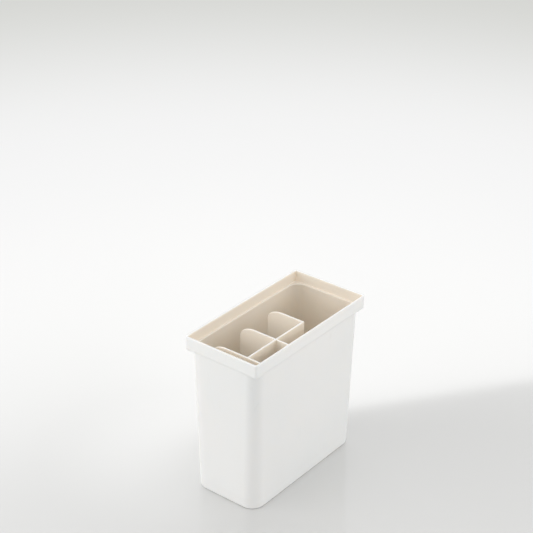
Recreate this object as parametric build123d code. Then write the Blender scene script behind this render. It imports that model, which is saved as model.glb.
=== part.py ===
from build123d import *
import math
import os

# Utensil holder: a moulded bin and a lift-out partition. Millimetres, +Z up.
# X runs along the long side, Y along the short side.
# The origin is on the ground, under the middle of the bin.

# Bin: overall size and collar
rim_length = 162.5
rim_width = 81.5
bin_height = 161.0
collar_height = 14.0
collar_overhang = 2.4
ledge_below_rim = 10.4
collar_corner_radius = 2.9

# Bin: body below the collar
wall = 2.1
floor_thickness = 2.4
wall_draft = 1.0
body_corner_radius = 12.0
foot_corner_radius = 13.5

# Bin: moulded edge rounds
foot_round = 0.8
rim_round = 0.8
collar_lower_round = 1.9
under_collar_round = 0.4
ledge_round = 0.5
floor_round = 1.0

# Bin: upright ribs that hold the middle cross plate in its place
rib_thickness = 1.4
rib_depth = 2.4
rib_side_gap = 0.4
rib_below_ledge = 14.0
rib_root = 1.0

# Partition: plates
plate = 1.8
plate_round = 0.5
partition_below_rim = 1.2
cross_pitch = 39.9
cross_plates = 3
front_channel = 11.4
wall_gap = 0.8
floor_gap = 0.3
ledge_gap = 0.4

# Partition: cut-down rear part of each cross plate
rear_opening = 20.2
shoulder_length = 16.0
shoulder_drop = 10.0
rear_part_height = 82.0
rear_sweep_radius = 9.0
rear_corner_radius = 4.0

# Tolerance for finding edges
snap = 0.01

# Worked out from the sizes above
body_top = bin_height - collar_height
ledge_top = bin_height - ledge_below_rim
slope = math.tan(math.radians(wall_draft))
body_length = rim_length - 2 * collar_overhang
body_width = rim_width - 2 * collar_overhang
mouth_half_length = rim_length / 2 - wall
mouth_half_width = rim_width / 2 - wall
partition_top = bin_height - partition_below_rim
partition_foot = floor_thickness + floor_gap


def draft_at(z):
    """How far the drafted wall has come in at height z, from its top edge."""
    return (body_top - z) * slope


def cavity_half_length(z):
    return body_length / 2 - wall - draft_at(z)


def cavity_half_width(z):
    return body_width / 2 - wall - draft_at(z)


end_plate_x = -cavity_half_length(floor_thickness) + wall_gap + plate / 2
cross_x = [end_plate_x + cross_pitch * index for index in range(cross_plates)]
middle_x = cross_x[1]
divider_front = -cavity_half_width(body_top) + front_channel
divider_y = divider_front + plate / 2
shoulder_end = cavity_half_width(body_top) - rear_opening
shoulder_start = shoulder_end - shoulder_length


def corner_radius_at(z):
    """Radius of the body's upright corners at height z; it grows towards the foot."""
    return foot_corner_radius + (body_corner_radius - foot_corner_radius) * z / body_top


def rounded_outline(length, width, radius, z):
    return Pos(0, 0, z) * RectangleRounded(length, width, radius)


def drafted_block(inset, z_low, z_high):
    """Body shape pulled in by inset on all sides, between two heights."""
    outlines = []
    for z in (z_low, z_high):
        shift = 2 * (inset + draft_at(z))
        radius = corner_radius_at(z) - inset
        outlines.append(rounded_outline(body_length - shift, body_width - shift, radius, z))
    return loft(outlines, ruled=True)


def edges_at(shape, z, half_length=rim_length, half_width=rim_width):
    """Level edges of a shape at height z, within a half length and half width."""
    found = []
    for edge in shape.edges():
        box = edge.bounding_box()
        level = abs(box.min.Z - z) < snap and abs(box.max.Z - z) < snap
        inside_x = max(-box.min.X, box.max.X) < half_length + snap
        inside_y = max(-box.min.Y, box.max.Y) < half_width + snap
        if level and inside_x and inside_y:
            found.append(edge)
    return found


def body_shell():
    body = drafted_block(0, 0, body_top)
    return fillet(edges_at(body, 0), foot_round)


def collar_block():
    outline = rounded_outline(rim_length, rim_width, collar_corner_radius, body_top)
    collar = extrude(outline, amount=collar_height)
    collar = fillet(edges_at(collar, body_top), collar_lower_round)
    return fillet(edges_at(collar, bin_height), rim_round)


def lower_cavity():
    cavity = drafted_block(wall, floor_thickness, ledge_top)
    return fillet(edges_at(cavity, floor_thickness), floor_round)


def mouth_cavity():
    outline = rounded_outline(2 * mouth_half_length, 2 * mouth_half_width,
                              collar_corner_radius - wall, ledge_top)
    return extrude(outline, amount=bin_height - ledge_top)


def guide_ribs():
    """Two ribs on the front wall, one each side of the middle cross plate."""
    rib_top = ledge_top - rib_below_ledge
    rib_foot = floor_thickness - rib_root
    offset = plate / 2 + rib_side_gap + rib_thickness / 2
    profile = make_face(Polyline([
        (-cavity_half_width(floor_thickness) - rib_root, rib_foot),
        (-cavity_half_width(floor_thickness) + rib_depth, rib_foot),
        (-cavity_half_width(rib_top) + rib_depth, rib_top),
        (-cavity_half_width(rib_top) - rib_root, rib_top),
    ], close=True))
    return [extrude(Plane.YZ.offset(middle_x + side * offset) * profile,
                    amount=rib_thickness / 2, both=True) for side in (-1, 1)]


def outer_bin():
    shell = body_shell() + collar_block()
    shell = fillet(edges_at(shell, body_top, body_length / 2, body_width / 2), under_collar_round)
    shell -= lower_cavity()
    shell -= mouth_cavity()
    mouth = edges_at(shell, bin_height, mouth_half_length, mouth_half_width)
    shell = fillet(mouth, rim_round)
    lip = edges_at(shell, ledge_top, cavity_half_length(ledge_top), cavity_half_width(ledge_top))
    shell = fillet(lip, ledge_round)
    for rib in guide_ribs():
        shell += rib
    return shell


def plate_reach(x, z):
    """Half width of a cross plate at x and height z, clear of the wall and round corner."""
    cavity_radius = corner_radius_at(z) - wall
    clear_radius = cavity_radius - wall_gap
    corner_centre_x = cavity_half_length(z) - cavity_radius
    corner_centre_y = cavity_half_width(z) - cavity_radius
    into_corner = max(abs(x) + plate / 2 - corner_centre_x, 0.0)
    return corner_centre_y + math.sqrt(max(clear_radius ** 2 - into_corner ** 2, 0.0))


def cross_profile(x, from_divider):
    """Outline of a cross plate, seen along X: full height in front, cut down behind."""
    under_ledge = body_top - ledge_gap
    above_ledge = ledge_top + ledge_gap
    chamfer_top = partition_foot + floor_round
    ear_y = -mouth_half_width + wall_gap
    rear_top = partition_foot + rear_part_height
    if from_divider:
        front = [(divider_front, partition_foot), (divider_front, partition_top)]
    else:
        front = [
            (-plate_reach(x, partition_foot) + floor_round, partition_foot),
            (-plate_reach(x, chamfer_top), chamfer_top),
            (-plate_reach(x, under_ledge), under_ledge),
            (-plate_reach(x, under_ledge), above_ledge),
            (ear_y, above_ledge),
            (ear_y, partition_top),
        ]
    back = [
        (plate_reach(x, rear_top), rear_top),
        (plate_reach(x, chamfer_top), chamfer_top),
        (plate_reach(x, partition_foot) - floor_round, partition_foot),
        front[0],
    ]
    sweep = (shoulder_end + rear_sweep_radius, rear_top + rear_sweep_radius)
    lines = Polyline(front)
    lines += Line(front[-1], (shoulder_start, partition_top))
    lines += EllipticalCenterArc((shoulder_start, partition_top - shoulder_drop),
                                 shoulder_length, shoulder_drop, start_angle=0, arc_size=90)
    lines += Line((shoulder_end, partition_top - shoulder_drop), (shoulder_end, sweep[1]))
    lines += CenterArc(sweep, rear_sweep_radius, 180, 90)
    lines += Polyline([(sweep[0], rear_top)] + back)
    outline = make_face(lines)
    return fillet(corner_at(outline, back[0]), rear_corner_radius)


def corner_at(outline, point):
    return outline.vertices().sort_by_distance(Vector(*point))[0]


def rounded_plate(profile, plane):
    """A plate of the given outline, centred on a plane, with all its rims rounded."""
    solid = extrude(plane * profile, amount=plate / 2, both=True)
    sides = [face for face in solid.faces().filter_by(GeomType.PLANE)
             if abs(abs(face.normal_at().dot(plane.z_dir)) - 1) < snap]
    rims = [edge for face in sides for edge in face.outer_wire().edges()]
    return fillet(rims, plate_round)


def partition_insert():
    solid = None
    for index, x in enumerate(cross_x):
        last = index == cross_plates - 1
        plate_solid = rounded_plate(cross_profile(x, last), Plane.YZ.offset(x))
        solid = plate_solid if solid is None else solid + plate_solid
    run = cross_x[-1] - cross_x[0] + plate
    height = partition_top - partition_foot
    outline = Pos((cross_x[0] + cross_x[-1]) / 2, partition_foot + height / 2) * Rectangle(run, height)
    divider = rounded_plate(outline, Plane.XZ.offset(-divider_y))
    return solid + divider


os.makedirs("parts", exist_ok=True)
export_step(outer_bin(), "parts/outer_bin.step")
export_step(partition_insert(), "parts/partition_insert.step")
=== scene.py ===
import math

import bpy
from mathutils import Matrix, Vector


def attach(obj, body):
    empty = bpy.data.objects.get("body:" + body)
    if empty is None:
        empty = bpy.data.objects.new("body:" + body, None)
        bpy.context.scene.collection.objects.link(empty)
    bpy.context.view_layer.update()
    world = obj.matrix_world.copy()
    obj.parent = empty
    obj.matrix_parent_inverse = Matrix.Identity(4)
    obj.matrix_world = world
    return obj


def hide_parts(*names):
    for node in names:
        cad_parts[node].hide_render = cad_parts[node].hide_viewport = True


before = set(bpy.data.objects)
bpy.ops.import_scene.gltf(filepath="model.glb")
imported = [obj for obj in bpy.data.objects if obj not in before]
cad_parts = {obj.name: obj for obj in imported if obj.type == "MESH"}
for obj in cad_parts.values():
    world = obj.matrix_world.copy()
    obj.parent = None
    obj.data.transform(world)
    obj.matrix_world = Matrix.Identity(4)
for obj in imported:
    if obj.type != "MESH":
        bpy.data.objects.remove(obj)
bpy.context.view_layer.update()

# Utensil holder: a moulded bin, and a loose partition that lifts out of it.
# Sizes are written in millimetres and become metres where a mesh is made.

mm = 0.001

print("camera")

viewpoint = {
    "azimuth": -52.056,
    "elevation": 27.953,
    "roll": 0.627,
    "distance": 1392.24,
    "aim": (62.317, 61.489, 164.879),
    "focal": 1449.5,  # in points of the frame
    "frameWidth": 533,  # in points; the frame is square
    "sensor": 36.0,
    "clip": (0.02, 60.0),  # metres
}


def placeCamera(spec):
    turn, lift, roll = (math.radians(spec[key]) for key in ("azimuth", "elevation", "roll"))
    level = math.cos(lift)
    back = Vector((math.sin(turn) * level, -math.cos(turn) * level, math.sin(lift)))
    right = Vector((math.cos(turn), math.sin(turn), 0))
    up = back.cross(right)
    rolledRight = right * math.cos(roll) + up * math.sin(roll)
    rolledUp = up * math.cos(roll) - right * math.sin(roll)
    data = bpy.data.cameras.new("mainCamera")
    data.sensor_width = spec["sensor"]
    data.lens = spec["focal"] * spec["sensor"] / spec["frameWidth"]
    data.clip_start, data.clip_end = spec["clip"]
    camera = bpy.data.objects.new("mainCamera", data)
    place = (Vector(spec["aim"]) + back * spec["distance"]) * mm
    axes = Matrix((rolledRight, rolledUp, back)).transposed().to_4x4()
    camera.matrix_world = Matrix.Translation(place) @ axes
    bpy.context.collection.objects.link(camera)
    bpy.context.scene.camera = camera


placeCamera(viewpoint)

print("materials")


class Wire:  # a shader socket that can be used in sums

    def __init__(self, graph, socket):
        self.graph = graph
        self.socket = socket

    def maths(self, operation, *inputs):
        return self.graph.node("ShaderNodeMath", {"operation": operation}, inputs)

    def __add__(self, other):
        return self.maths("ADD", self, other)

    def __radd__(self, other):
        return self.maths("ADD", other, self)

    def __sub__(self, other):
        return self.maths("SUBTRACT", self, other)

    def __rsub__(self, other):
        return self.maths("SUBTRACT", other, self)

    def __mul__(self, other):
        return self.maths("MULTIPLY", self, other)

    def __rmul__(self, other):
        return self.maths("MULTIPLY", other, self)

    def between(self, low, high):  # 0 below low, 1 above high, smooth in between
        inputs = {"Value": self, "From Min": low, "From Max": high}
        return self.graph.node("ShaderNodeMapRange", {"interpolation_type": "SMOOTHSTEP"}, inputs)


class Graph:  # the node tree of one material or of the world

    def __init__(self, owner):
        owner.use_nodes = True
        self.tree = owner.node_tree
        self.tree.nodes.clear()

    def node(self, kind, settings=None, inputs=(), output=0):
        made = self.tree.nodes.new(kind)
        for key, value in (settings or {}).items():
            setattr(made, key, value)
        for key, value in inputs.items() if isinstance(inputs, dict) else enumerate(inputs):
            if isinstance(value, Wire):
                self.tree.links.new(value.socket, made.inputs[key])
            else:
                made.inputs[key].default_value = value
        return Wire(self, made.outputs[output]) if len(made.outputs) else made

    def mix(self, factor, first, second):
        inputs = {0: factor, 6: first, 7: second}
        return self.node("ShaderNodeMix", {"data_type": "RGBA"}, inputs, 2)


def colour(red, green, blue):
    return (red, green, blue, 1.0)


noiseMiddle = 0.5  # the mean of a noise

plasticLook = {
    "white": colour(0.835, 0.83, 0.815),
    "cool": colour(0.815, 0.82, 0.81),
    "warmBounceTint": colour(0.905, 0.836, 0.745),  # painted warm bounce light: the surfaces inside the bin are coloured warmer than the outside
    "scuff": colour(0.70, 0.69, 0.67),
    "roughness": 0.36,
    "index": 1.49,
    "glow": 0.5,  # light that soaks through the thin walls
    "glowReach": (1.0, 0.93, 0.84),
    "glowScale": 0.0022,
    "flow": (9.0, 3.0, 0.5),  # each noise has its scale, detail and roughness
    "ripple": (26.0, 1.0, 0.5),
    "grain": (1400.0, 2.0, 0.6),
    "patches": (38.0, 2.0, 0.5),
    "flowFade": (0.35, 0.65),
    "flowRoughness": 0.10,
    "rippleDepth": 0.00006,
    "grainDepth": 0.0000045,
    "hairTurn": (0.5, 0.4, 0.7),
    "hairStretch": (160.0, 160.0, 11.0),
    "hairWidth": 0.03,
    "patchFade": (0.55, 0.72),
    "scuffTint": 0.22,
    "scuffRoughness": 0.18,
}


def mouldedPlastic(name, look):
    material = bpy.data.materials.new(name)
    graph = Graph(material)
    place = graph.node("ShaderNodeTexCoord", output="Object")

    def noise(scale, detail, roughness):
        inputs = {"Vector": place, "Scale": scale, "Detail": detail, "Roughness": roughness}
        return graph.node("ShaderNodeTexNoise", inputs=inputs)

    warmBounceShare = graph.node("ShaderNodeAttribute", {"attribute_name": "warmBounceShare"}, output="Fac")
    flow = noise(*look["flow"])

    # hair scuffs: the borders of long thin cells, only in patches
    cells = graph.node("ShaderNodeMapping", inputs={
        "Vector": place, "Rotation": look["hairTurn"], "Scale": look["hairStretch"]})
    border = graph.node("ShaderNodeTexVoronoi", {"feature": "DISTANCE_TO_EDGE"},
                        {"Vector": cells, "Scale": 1.0})
    patches = noise(*look["patches"]).between(*look["patchFade"])
    scuffs = (1.0 - border.between(0.0, look["hairWidth"])) * patches

    base = graph.mix(flow.between(*look["flowFade"]), look["white"], look["cool"])
    # painted warm bounce light: the warm tint is mixed in where the mask marks the inner surfaces
    base = graph.mix(warmBounceShare, base, look["warmBounceTint"])
    base = graph.mix(scuffs * look["scuffTint"], base, look["scuff"])
    uneven = (flow - noiseMiddle) * look["flowRoughness"]
    roughness = uneven + scuffs * look["scuffRoughness"] + look["roughness"]
    ripple = noise(*look["ripple"]) * (look["rippleDepth"] / look["grainDepth"])
    bump = graph.node("ShaderNodeBump", inputs={
        "Strength": 1.0, "Distance": look["grainDepth"],
        "Height": ripple + noise(*look["grain"])})
    shader = graph.node("ShaderNodeBsdfPrincipled", inputs={
        "Base Color": base, "Roughness": roughness, "Normal": bump, "IOR": look["index"],
        "Subsurface Weight": look["glow"], "Subsurface Radius": look["glowReach"],
        "Subsurface Scale": look["glowScale"]})
    graph.node("ShaderNodeOutputMaterial", inputs=[shader])
    return material


binPlastic = mouldedPlastic("binPlastic", plasticLook)
partitionPlastic = mouldedPlastic("partitionPlastic", plasticLook)

print("mesh tools")

sharpAngle = 35.0  # edges that turn by more than this are rounded


def meshPiece(name, points, faces, material):
    mesh = bpy.data.meshes.new(name)
    mesh.from_pydata([[value * mm for value in point] for point in points], [], faces)
    mesh.materials.append(material)
    mesh.polygons.foreach_set("use_smooth", [True] * len(mesh.polygons))
    mesh.update()
    piece = bpy.data.objects.new(name, mesh)
    bpy.context.collection.objects.link(piece)
    return piece


def applied(piece):  # the modifiers' result becomes the piece's own mesh
    depsgraph = bpy.context.evaluated_depsgraph_get()
    mesh = bpy.data.meshes.new_from_object(piece.evaluated_get(depsgraph))
    piece.modifiers.clear()
    old = piece.data
    piece.data = mesh
    mesh.name = piece.name
    bpy.data.meshes.remove(old)
    return piece


def joined(piece, tool):  # one closed skin round both; the tool is used up
    modifier = piece.modifiers.new("join", "BOOLEAN")
    modifier.operation = "UNION"
    modifier.solver = "EXACT"
    modifier.object = tool
    applied(piece)
    mesh = tool.data
    bpy.data.objects.remove(tool)
    bpy.data.meshes.remove(mesh)


def rounded(piece, width, steps):
    modifier = piece.modifiers.new("round", "BEVEL")
    modifier.width = width * mm
    modifier.segments = steps
    modifier.limit_method = "ANGLE"
    modifier.angle_limit = math.radians(sharpAngle)
    modifier.use_clamp_overlap = False
    modifier.harden_normals = True
    return applied(piece)


def arc(centre, radii, start, end, steps):
    points = []
    for step in range(steps + 1):
        angle = math.radians(start + (end - start) * step / steps)
        points.append((centre[0] + radii[0] * math.cos(angle),
                       centre[1] + radii[1] * math.sin(angle)))
    return points


def slab(name, outline, x, thickness, material):  # an outline seen along X, made solid
    count = len(outline)
    points = [(x + side * thickness / 2, y, z) for side in (-1, 1) for y, z in outline]
    faces = [tuple(reversed(range(count))), tuple(range(count, 2 * count))]
    for index in range(count):
        after = (index + 1) % count
        faces.append((index, after, count + after, count + index))
    return meshPiece(name, points, faces, material)


print("bin shell")

binSize = {
    "rimLength": 162.5,
    "rimWidth": 81.5,
    "height": 161.0,
    "collarHeight": 14.0,
    "overhang": 2.4,
    "ledgeBelowRim": 10.4,
    "collarCorner": 2.6,
    "wall": 2.1,
    "floor": 2.4,
    "draft": 1.0,
    "bodyCorner": 12.0,
    "footCorner": 13.5,
    "leastCorner": 0.25,
    "footRound": 2.0,
    "rimRound": 0.8,
    "collarLowerRound": (1.9, 3.0),  # across, up
    "underCollarRound": 0.4,
    "ledgeRoot": 0.5,
    "ledgeRound": 0.5,
    "floorRound": 1.0,
    "support": 0.3,  # a loop beside each round keeps the flats flat
    "cornerSteps": 14,
    "roundSteps": 5,
    "longSteps": 16,
    "shortSteps": 8,
    "wallSteps": 10,
}

bodyTop = binSize["height"] - binSize["collarHeight"]
ledgeTop = binSize["height"] - binSize["ledgeBelowRim"]
slope = math.tan(math.radians(binSize["draft"]))
lean = 1 / math.cos(math.radians(binSize["draft"]))


def draftAt(z):  # how far the leaning wall has come in at height z
    return (bodyTop - z) * slope


def cavityHalfLength(z):
    return binSize["rimLength"] / 2 - binSize["overhang"] - binSize["wall"] - draftAt(z)


def cavityHalfWidth(z):
    return binSize["rimWidth"] / 2 - binSize["overhang"] - binSize["wall"] - draftAt(z)


def cornerAt(z):  # the body's upright corners open out a little towards the foot
    return binSize["footCorner"] + (binSize["bodyCorner"] - binSize["footCorner"]) * z / bodyTop


def loopAt(size, onCollar, inset, z):  # one level loop round the bin
    less = inset if onCollar else inset + size["overhang"]
    halfLength = size["rimLength"] / 2 - less
    halfWidth = size["rimWidth"] / 2 - less
    radius = (size["collarCorner"] if onCollar else cornerAt(z) + draftAt(z)) - inset
    radius = max(radius, size["leastCorner"])
    points = []
    for quarter, (signX, signY) in enumerate(((1, 1), (-1, 1), (-1, -1), (1, -1))):
        centre = (signX * (halfLength - radius), signY * (halfWidth - radius))
        turn = 90.0 * quarter
        points += arc(centre, (radius, radius), turn, turn + 90.0, size["cornerSteps"])
        alongX = quarter % 2 == 0
        steps = size["longSteps"] if alongX else size["shortSteps"]
        run = 2 * ((halfLength if alongX else halfWidth) - radius)
        stops = [size["support"]] + [run * step / steps for step in range(1, steps)]
        heading = (-signX, 0) if alongX else (0, -signY)
        start = points[-1]
        for stop in stops + [run - size["support"]]:
            points.append((start[0] + heading[0] * stop, start[1] + heading[1] * stop))
    return [(x, y, z) for x, y in points]


def shellCourses(size):  # the wall's section, from the underside out, up and back in
    wall, gap, tilt = size["wall"], size["support"], size["draft"]
    steps = size["roundSteps"]
    courses = []

    def bend(onCollar, inset, z, radius, start, end):
        radii = radius if isinstance(radius, tuple) else (radius, radius)
        points = arc((-inset, z), radii, start, end, steps)
        courses.extend((onCollar, -out, height) for out, height in points)

    def level(onCollar, inset, z):
        courses.append((onCollar, inset, z))

    def upright(thickness, low, high):
        for step in range(size["wallSteps"] + 1):
            z = low + (high - low) * step / size["wallSteps"]
            courses.append((False, thickness + draftAt(z), z))

    foot = size["footRound"]
    footInset = draftAt(foot) + foot * lean
    level(False, footInset + gap, 0.0)
    bend(False, footInset, foot, foot, -90.0, -tilt)
    under = size["underCollarRound"]
    upright(0.0, foot + gap, bodyTop - under - gap)
    underInset = draftAt(bodyTop - under) - under * lean
    bend(False, underInset, bodyTop - under, under, 180.0 - tilt, 90.0)
    across, up = size["collarLowerRound"]
    bend(True, across, bodyTop + up, (across, up), -90.0, 0.0)
    level(True, 0.0, bodyTop + up + gap)
    rim, top = size["rimRound"], size["height"]
    level(True, 0.0, top - rim - gap)
    bend(True, rim, top - rim, rim, 0.0, 90.0)
    bend(True, wall - rim, top - rim, rim, 90.0, 180.0)
    level(True, wall, top - rim - gap)
    root = size["ledgeRoot"]
    level(True, wall, ledgeTop + root + gap)
    bend(True, wall + root, ledgeTop + root, root, 0.0, -90.0)
    level(True, wall + root + gap, ledgeTop)
    lip = size["ledgeRound"]
    lipInset = wall + draftAt(ledgeTop - lip) - lip * lean
    level(False, lipInset - gap, ledgeTop)
    bend(False, lipInset, ledgeTop - lip, lip, 90.0, 180.0 - tilt)
    low = size["floorRound"]
    upright(wall, ledgeTop - lip - gap, size["floor"] + low + gap)
    lowInset = wall + draftAt(size["floor"] + low) + low * lean
    bend(False, lowInset, size["floor"] + low, low, -tilt, -90.0)
    level(False, lowInset + gap, size["floor"])
    return courses


def makeShell(size, material):
    loops = [loopAt(size, *course) for course in shellCourses(size)]
    count = len(loops[0])
    points = [point for loop in loops for point in loop]
    faces = [tuple(reversed(range(count)))]
    for lower in range(len(loops) - 1):
        for index in range(count):
            after = (index + 1) % count
            near, far = lower * count, (lower + 1) * count
            faces.append((near + index, near + after, far + after, far + index))
    faces.append(tuple(range(len(points) - count, len(points))))
    return meshPiece("binShell", points, faces, material)


binShell = makeShell(binSize, binPlastic)

print("partition")

plateSize = {
    "thickness": 1.8,
    "round": 0.45,
    "roundSteps": 3,
    "belowRim": 1.2,
    "pitch": 39.9,
    "count": 3,
    "channel": 11.4,
    "wallGap": 0.8,
    "floorGap": 0.3,
    "ledgeGap": 0.4,
    "rearOpening": 20.2,
    "shoulderLength": 16.0,
    "shoulderDrop": 10.0,
    "rearHeight": 82.0,
    "shoulderSteps": 12,
    "sweepRadius": 9.0,
    "sweepSteps": 8,
    "rearCorner": 4.0,
    "cornerSteps": 5,
}

endX = -cavityHalfLength(binSize["floor"]) + plateSize["wallGap"]
firstX = endX + plateSize["thickness"] / 2
plateX = [firstX + plateSize["pitch"] * index for index in range(plateSize["count"])]
plateTop = binSize["height"] - plateSize["belowRim"]
plateFoot = binSize["floor"] + plateSize["floorGap"]
dividerFront = -cavityHalfWidth(bodyTop) + plateSize["channel"]


def reachAt(x, z):  # how far a cross plate may go towards the wall, clear of the corner
    radius = cornerAt(z) - binSize["wall"]
    clear = radius - plateSize["wallGap"]
    corner = max(abs(x) + plateSize["thickness"] / 2 - (cavityHalfLength(z) - radius), 0.0)
    return cavityHalfWidth(z) - radius + math.sqrt(max(clear ** 2 - corner ** 2, 0.0))


def plateOutline(x, fromDivider, size):  # full height in front, cut down behind
    low, high = bodyTop - size["ledgeGap"], ledgeTop + size["ledgeGap"]
    chamfer = binSize["floorRound"]
    heel = plateFoot + chamfer
    rearTop = plateFoot + size["rearHeight"]
    end = cavityHalfWidth(bodyTop) - size["rearOpening"]
    start = end - size["shoulderLength"]
    if fromDivider:
        outline = [(dividerFront, plateTop), (dividerFront, plateFoot)]
    else:
        ear = -binSize["rimWidth"] / 2 + binSize["wall"] + size["wallGap"]
        outline = [(ear, plateTop), (ear, high),
                   (-reachAt(x, low), high), (-reachAt(x, low), low),
                   (-reachAt(x, heel), heel), (chamfer - reachAt(x, plateFoot), plateFoot)]
    outline += [(reachAt(x, plateFoot) - chamfer, plateFoot), (reachAt(x, heel), heel)]
    corner, sweep = size["rearCorner"], size["sweepRadius"]
    centre = (reachAt(x, rearTop) - corner, rearTop - corner)
    outline += arc(centre, (corner, corner), 0, 90, size["cornerSteps"])
    centre = (end + sweep, rearTop + sweep)
    outline += arc(centre, (sweep, sweep), 270, 180, size["sweepSteps"])
    centre = (start, plateTop - size["shoulderDrop"])
    radii = (size["shoulderLength"], size["shoulderDrop"])
    return outline + arc(centre, radii, 0, 90, size["shoulderSteps"])


def makePartition(size, material):
    front, back = dividerFront, dividerFront + size["thickness"]
    divider = [(front, plateFoot), (back, plateFoot), (back, plateTop), (front, plateTop)]
    middle, run = (plateX[0] + plateX[-1]) / 2, plateX[-1] - plateX[0]
    piece = slab("partitionPlates", divider, middle, run, material)
    for index, x in enumerate(plateX):
        outline = plateOutline(x, index == size["count"] - 1, size)
        joined(piece, slab("plate", outline, x, size["thickness"], material))
    return rounded(piece, size["round"], size["roundSteps"])


partitionPlates = makePartition(plateSize, partitionPlastic)

print("guide ribs")

ribSize = {
    "thickness": 1.4,
    "depth": 2.4,
    "sideGap": 0.4,
    "belowLedge": 14.0,
    "root": 1.0,
    "round": 0.3,
    "roundSteps": 2,
    "count": 2,  # one on each side of the middle cross plate
}


def rowTree():  # copies of a piece along a straight line
    tree = bpy.data.node_groups.new("rowOfCopies", "GeometryNodeTree")
    sockets = tree.interface
    sockets.new_socket("Geometry", in_out="INPUT", socket_type="NodeSocketGeometry")
    sockets.new_socket("Count", in_out="INPUT", socket_type="NodeSocketInt")
    sockets.new_socket("First", in_out="INPUT", socket_type="NodeSocketVector")
    sockets.new_socket("Step", in_out="INPUT", socket_type="NodeSocketVector")
    sockets.new_socket("Material", in_out="INPUT", socket_type="NodeSocketMaterial")
    sockets.new_socket("Geometry", in_out="OUTPUT", socket_type="NodeSocketGeometry")
    start = tree.nodes.new("NodeGroupInput").outputs
    line = tree.nodes.new("GeometryNodeMeshLine")
    copies = tree.nodes.new("GeometryNodeInstanceOnPoints")
    real = tree.nodes.new("GeometryNodeRealizeInstances")
    finish = tree.nodes.new("GeometryNodeSetMaterial")
    end = tree.nodes.new("NodeGroupOutput").inputs
    for source, target in (
            (start["Count"], line.inputs["Count"]),
            (start["First"], line.inputs["Start Location"]),
            (start["Step"], line.inputs["Offset"]),
            (line.outputs["Mesh"], copies.inputs["Points"]),
            (start["Geometry"], copies.inputs["Instance"]),
            (copies.outputs["Instances"], real.inputs["Geometry"]),
            (real.outputs["Geometry"], finish.inputs["Geometry"]),
            (start["Material"], finish.inputs["Material"]),
            (finish.outputs["Geometry"], end["Geometry"])):
        tree.links.new(source, target)
    return tree


def row(piece, tree, values):
    modifier = piece.modifiers.new("row", "NODES")
    modifier.node_group = tree
    for item in tree.interface.items_tree:
        if item.in_out == "INPUT" and item.name in values:
            modifier[item.identifier] = values[item.name]
    applied(piece)


def ribOutline(size):
    foot, top = binSize["floor"] - size["root"], ledgeTop - size["belowLedge"]
    face = -cavityHalfWidth(binSize["floor"]), -cavityHalfWidth(top)
    return [(face[0] - size["root"], foot), (face[0] + size["depth"], foot),
            (face[1] + size["depth"], top), (face[1] - size["root"], top)]


ribOffset = plateSize["thickness"] / 2 + ribSize["sideGap"] + ribSize["thickness"] / 2
guideRibs = slab("guideRibs", ribOutline(ribSize), 0.0, ribSize["thickness"], binPlastic)
rounded(guideRibs, ribSize["round"], ribSize["roundSteps"])
row(guideRibs, rowTree(), {
    "Count": ribSize["count"],
    "First": ((plateX[1] - ribOffset) * mm, 0.0, 0.0),
    "Step": (2 * ribOffset * mm, 0.0, 0.0),
    "Material": binPlastic,
})
joined(binShell, guideRibs)

# painted warm bounce light: a mask for the surfaces that take the warm tint
print("surface marks")

warmBounceZone = {
    "aboveSeam": 0.01,  # millimetres over the collar's underside
    "wallShare": 0.8,
    "margin": 0.05,
}


def markWarmBounce(piece, test):
    mesh = piece.data
    layer = mesh.attributes.new("warmBounceShare", "FLOAT", "POINT")
    for vertex, value in zip(mesh.vertices, layer.data):
        x, y, z = (part / mm for part in vertex.co)
        value.value = test(x, y, z)


def inCavity(x, y, z):  # 1 on the surfaces inside the bin, 0 on the outside and the rim
    onCollar = z > bodyTop + warmBounceZone["aboveSeam"]
    less = 0.0 if onCollar else binSize["overhang"] + draftAt(z)
    radius = binSize["collarCorner"] if onCollar else cornerAt(z)
    pastX = abs(x) - (binSize["rimLength"] / 2 - less - radius)
    pastY = abs(y) - (binSize["rimWidth"] / 2 - less - radius)
    inset = radius - (math.hypot(pastX, pastY) if min(pastX, pastY) > 0 else max(pastX, pastY))
    deep = inset > binSize["wall"] * warmBounceZone["wallShare"]
    return 1.0 if deep and z > binSize["floor"] - warmBounceZone["margin"] else 0.0


def belowTop(x, y, z):
    return 1.0 if z < plateTop - warmBounceZone["margin"] else 0.0


# painted warm bounce light: the bin's cavity and the partition below its top edge are tinted
# warmer
markWarmBounce(binShell, inCavity)
markWarmBounce(partitionPlates, belowTop)

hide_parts("outer_bin")
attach(binShell, "bin")
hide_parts("partition_insert")
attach(partitionPlates, "partition")

print("stage")

floorLook = {
    "radius": 7.0,  # metres, as all lengths of the stage
    "steps": 96,
    "near": colour(0.66, 0.66, 0.65),
    "index": 2.2,
    "roughness": 0.06,
    "cloud": (3.0, 2.0),  # scale, detail
    "cloudDepth": 0.03,
    "duller": 0.13,  # how much rougher the floor is at its left side
    "leftward": (-0.615, 0.788, 0.0),
    "dullFade": (0.0, 0.2),
    "pool": colour(0.765, 0.765, 0.755),  # a soft pool of light beside the foot
    "poolCentre": (-0.062, 0.086, 0.0),
    "poolFade": (0.0, 0.13),
    "far": colour(0.915, 0.915, 0.915),
    "farFade": (0.22, 0.85),  # from the lit floor to its plain far part
    "farther": colour(0.67, 0.675, 0.65),
    "fartherFade": (0.75, 1.62),
}


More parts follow.
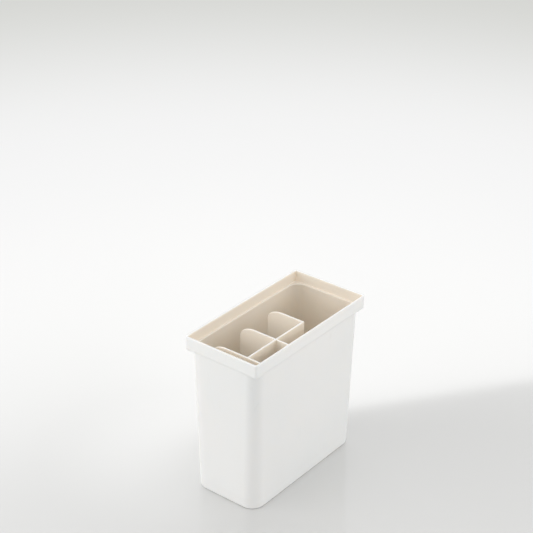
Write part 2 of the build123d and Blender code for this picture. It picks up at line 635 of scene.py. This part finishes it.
def makeFloor(look):
    material = bpy.data.materials.new("paleFloor")
    graph = Graph(material)
    place = graph.node("ShaderNodeTexCoord", output="Object")

    def measure(operation, *inputs):  # of the place on the floor
        settings = {"operation": operation}
        return graph.node("ShaderNodeVectorMath", settings, [place, *inputs], "Value")

    scale, detail = look["cloud"]
    inputs = {"Vector": place, "Scale": scale, "Detail": detail}
    cloud = graph.node("ShaderNodeTexNoise", inputs=inputs)
    duller = measure("DOT_PRODUCT", look["leftward"]).between(*look["dullFade"]) * look["duller"]
    uneven = (cloud - noiseMiddle) * look["cloudDepth"]
    fromPool = measure("DISTANCE", look["poolCentre"])
    base = graph.mix(1.0 - fromPool.between(*look["poolFade"]), look["near"], look["pool"])
    lit = graph.node("ShaderNodeBsdfPrincipled", inputs={
        "Base Color": base, "Roughness": uneven + duller + look["roughness"],
        "IOR": look["index"]})

    away = measure("LENGTH")
    tone = graph.mix(away.between(*look["fartherFade"]), look["far"], look["farther"])
    plain = graph.node("ShaderNodeEmission", inputs=[tone, 1.0])
    seen = graph.node("ShaderNodeLightPath", output="Is Camera Ray")
    share = away.between(*look["farFade"]) * seen
    mixed = graph.node("ShaderNodeMixShader", inputs=[share, lit, plain])
    graph.node("ShaderNodeOutputMaterial", inputs=[mixed])

    rim = []
    for step in range(look["steps"]):
        angle = 2 * math.pi * step / look["steps"]
        reach = look["radius"] / mm
        rim.append((math.cos(angle) * reach, math.sin(angle) * reach, 0.0))
    return meshPiece("floorDisc", rim, [tuple(range(look["steps"]))], material)


makeFloor(floorLook)

worldLook = {
    "light": colour(1.0, 1.0, 1.0),
    "strength": 0.72,
    "mirroredStrength": 1.0,
    "seen": floorLook["farther"],
    "seenStrength": 1.0,
}


def makeWorld(look):
    world = bpy.data.worlds.new("studioWorld")
    bpy.context.scene.world = world
    graph = Graph(world)

    def background(tint, strength):
        return graph.node("ShaderNodeBackground", inputs=[tint, strength])

    def chosen(ray, first, second):  # the second for this kind of ray, else the first
        kind = graph.node("ShaderNodeLightPath", output=ray)
        return graph.node("ShaderNodeMixShader", inputs=[kind, first, second])

    light = background(look["light"], look["strength"])
    mirrored = background(look["light"], look["mirroredStrength"])
    seen = background(look["seen"], look["seenStrength"])
    mixed = chosen("Is Camera Ray", chosen("Is Glossy Ray", light, mirrored), seen)
    graph.node("ShaderNodeOutputWorld", inputs=[mixed])


makeWorld(worldLook)

lampAim = Vector((0.0, 0.0, 0.1))
lampLook = {
    "left": {"place": (-1.38, 1.0, 0.58), "size": (1.6, 1.14), "roll": 0.0, "power": 12.9},
    "right": {"place": (0.66, -1.65, 0.58), "size": (1.6, 1.14), "roll": 0.0, "power": 10.3},
    "back": {"place": (2.18, 1.70, 1.03), "size": (3.2, 1.35), "roll": 10.0, "power": 17.6},
    "top": {"place": (-0.3, -0.2, 2.0), "size": (1.4, 1.4), "roll": 0.0, "power": 3.0},
}


def placeLamp(name, look):
    data = bpy.data.lights.new(name, "AREA")
    data.shape = "RECTANGLE"
    data.size, data.size_y = look["size"]
    data.energy = look["power"]
    lamp = bpy.data.objects.new(name, data)
    place = Vector(look["place"])
    turn = (lampAim - place).to_track_quat("-Z", "Y").to_matrix()
    turn = turn @ Matrix.Rotation(math.radians(look["roll"]), 3, "Z")
    lamp.matrix_world = Matrix.Translation(place) @ turn.to_4x4()
    bpy.context.collection.objects.link(lamp)


for lampName, lampValues in lampLook.items():
    placeLamp(lampName + "Lamp", lampValues)

bpy.context.scene.view_settings.view_transform = "Standard"
